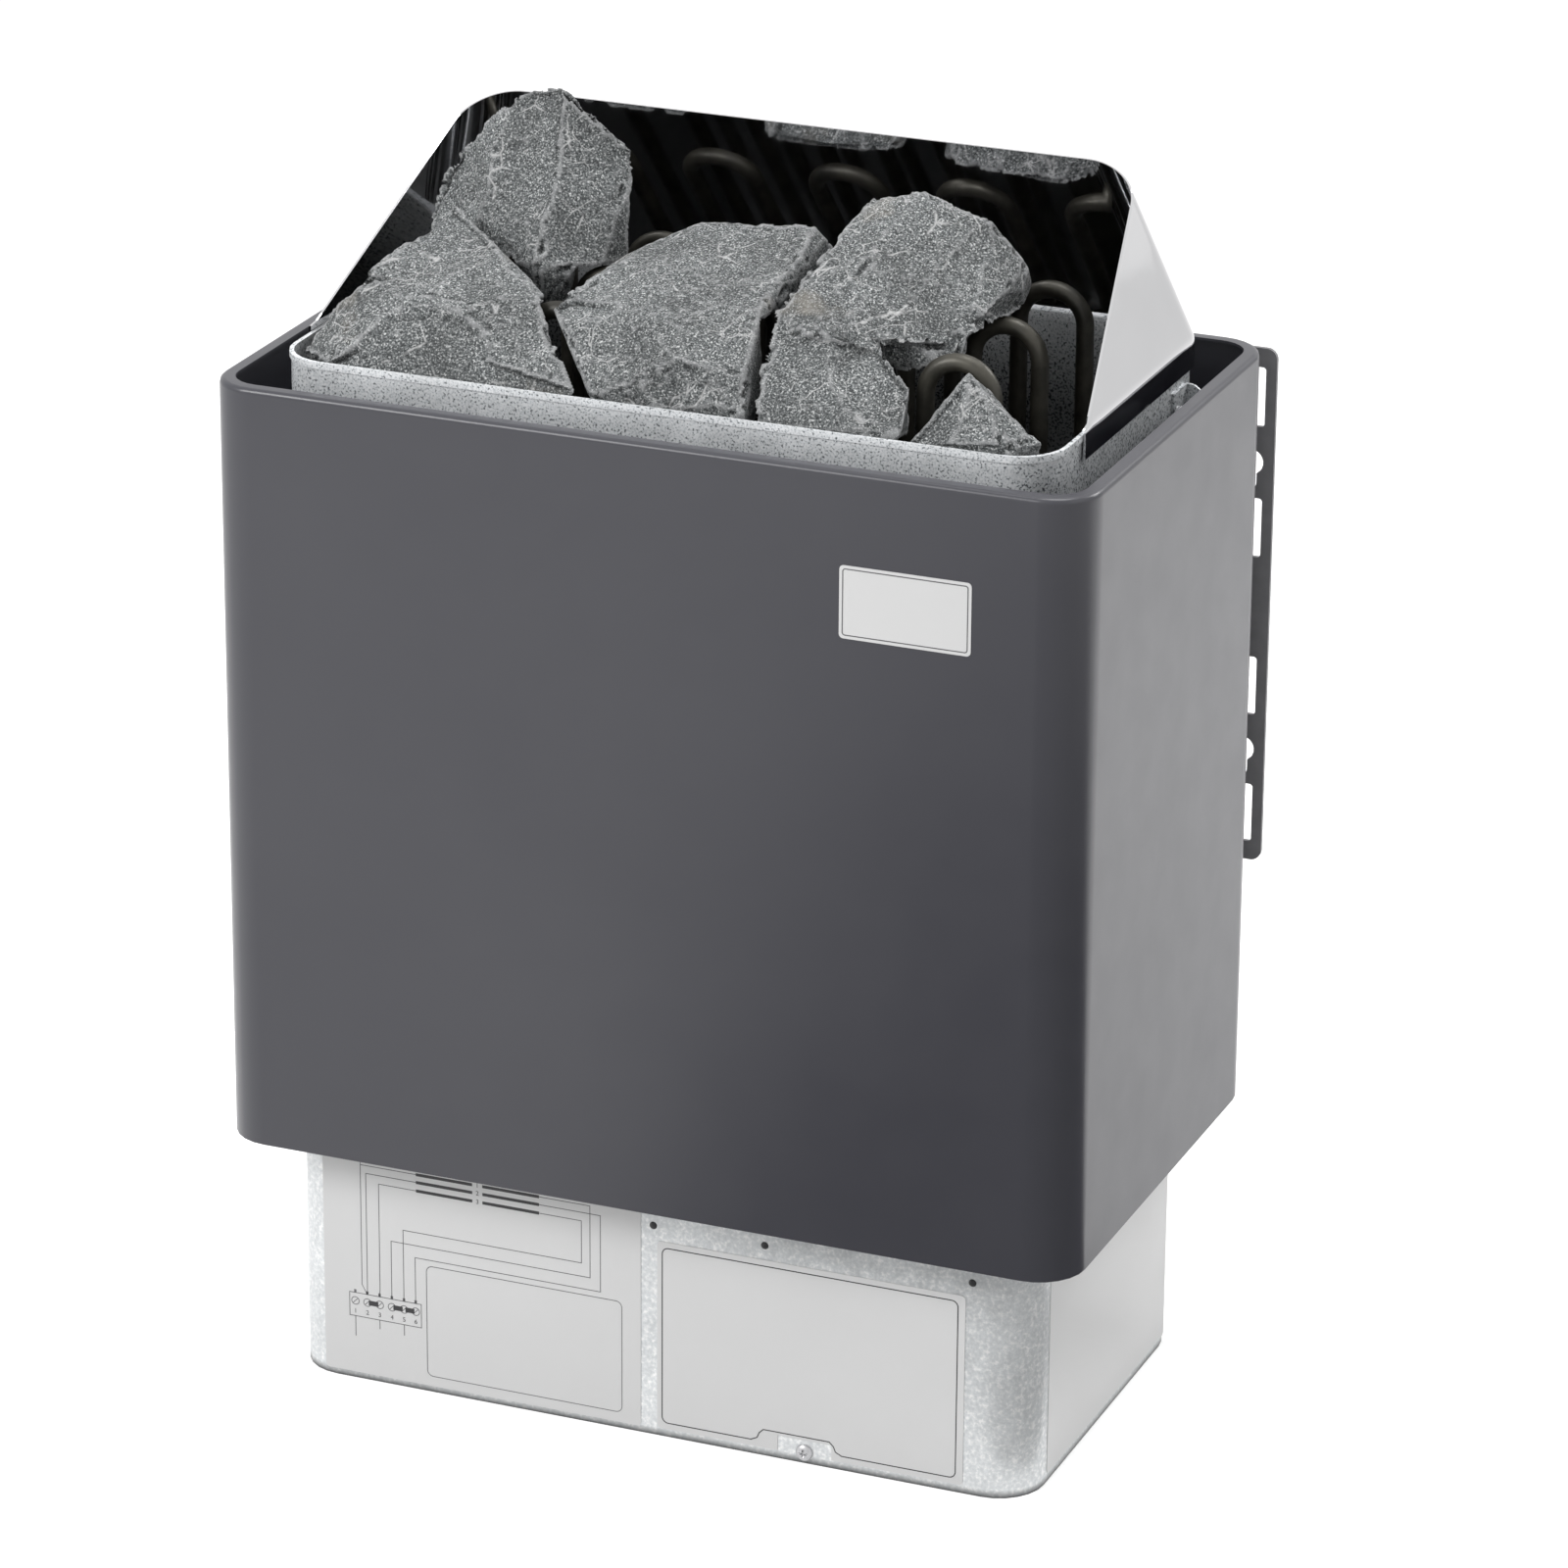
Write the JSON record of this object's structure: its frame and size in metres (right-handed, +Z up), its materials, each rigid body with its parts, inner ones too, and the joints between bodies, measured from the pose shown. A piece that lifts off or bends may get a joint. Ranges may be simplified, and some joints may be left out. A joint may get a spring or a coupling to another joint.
{
  "type": "sauna heater stove",
  "caption": "Wall-hung electric sauna heater with a dark painted cover, galvanised stone tank, heating tubes, polished guard, loose stones and a slotted wall rack.",
  "frame": {"origin": "on the floor, under the middle of the overall box", "axes": "+Z up, the front of the cover faces -Y, +X is to the right seen from the front"},
  "size_m": [0.41, 0.2522, 0.5893],
  "materials": {
    "painted_cover": "satin powder coat",
    "galvanised": "spangled zinc",
    "polished_steel": "mirror polished",
    "black_steel": "matt black",
    "oxidised_tube": "heat-darkened satin",
    "stone": "rough, speckled",
    "silicone": "matt",
    "black_plastic": "matt",
    "ceramic": "satin",
    "brass": "satin",
    "sticker": "semi-gloss",
    "zinc_screw": "bright zinc"
  },
  "bodies": {
    "heater": {"bottom_lid": "galvanised", "cable_gland": "black_plastic", "cover_sticker": "sticker", "data_sticker": "sticker", "earth_stud": "zinc_screw", "gland_nut": "black_plastic", "heating_tube_front": "oxidised_tube", "heating_tube_middle": "oxidised_tube", "heating_tube_rear": "oxidised_tube", "inner_casing": "galvanised", "jumper_link_1": "brass", "jumper_link_2": "brass", "lead_front_left": "silicone", "lead_front_right": "silicone", "lead_middle_left": "silicone", "lead_middle_right": "silicone", "lead_rear_left": "silicone", "lead_rear_right": "silicone", "lid_screw_1": "zinc_screw", "lid_screw_2": "zinc_screw", "lid_screw_3": "zinc_screw", "outer_cover": "painted_cover", "plate_rivet_1": "black_steel", "plate_rivet_2": "black_steel", "plate_rivet_3": "black_steel", "side_sticker": "sticker", "spacer_lower_left": "galvanised", "spacer_lower_right": "galvanised", "spacer_screw_lower_left": "zinc_screw", "spacer_screw_lower_right": "zinc_screw", "spacer_screw_upper_left": "zinc_screw", "spacer_screw_upper_right": "zinc_screw", "spacer_upper_left": "galvanised", "spacer_upper_right": "galvanised", "stone_grate": "galvanised", "terminal_block": "ceramic", "terminal_plate": "galvanised", "terminal_screw_1": "brass", "terminal_screw_2": "brass", "terminal_screw_3": "brass", "terminal_screw_4": "brass", "terminal_screw_5": "brass", "terminal_screw_6": "brass", "tube_fitting_1": "brass", "tube_fitting_2": "brass", "tube_fitting_3": "brass", "tube_fitting_4": "brass", "tube_fitting_5": "brass", "tube_fitting_6": "brass", "wiring_sticker": "sticker"},
    "guard": {"guard": "polished_steel"},
    "wall_rack": {"wall_rack": "black_steel"},
    "stone_back_left": {"stone_back_left": "stone"},
    "stone_centre": {"stone_centre": "stone"},
    "stone_front_left": {"stone_front_left": "stone"},
    "stone_front_right": {"stone_front_right": "stone"},
    "stone_right": {"stone_right": "stone"}
  },
  "joints": [
    {"name": "guard_lift", "type": "slide", "parent": "heater", "child": "guard", "axis": [0, 0, 1], "range_m": [0, 0.12]},
    {"name": "rack_unhook", "type": "slide", "parent": "heater", "child": "wall_rack", "axis": [0, 0, -1], "range_m": [0, 0.0105]},
    {"name": "lift_back_left_stone", "type": "slide", "parent": "heater", "child": "stone_back_left", "axis": [0, 0, 1], "range_m": [0, 0.15]},
    {"name": "lift_centre_stone", "type": "slide", "parent": "heater", "child": "stone_centre", "axis": [0, 0, 1], "range_m": [0, 0.15]},
    {"name": "lift_front_left_stone", "type": "slide", "parent": "heater", "child": "stone_front_left", "axis": [0, 0, 1], "range_m": [0, 0.15]},
    {"name": "lift_front_right_stone", "type": "slide", "parent": "heater", "child": "stone_front_right", "axis": [0, 0, 1], "range_m": [0, 0.15]},
    {"name": "lift_right_stone", "type": "slide", "parent": "heater", "child": "stone_right", "axis": [0, 0, 1], "range_m": [0, 0.15]}
  ]
}
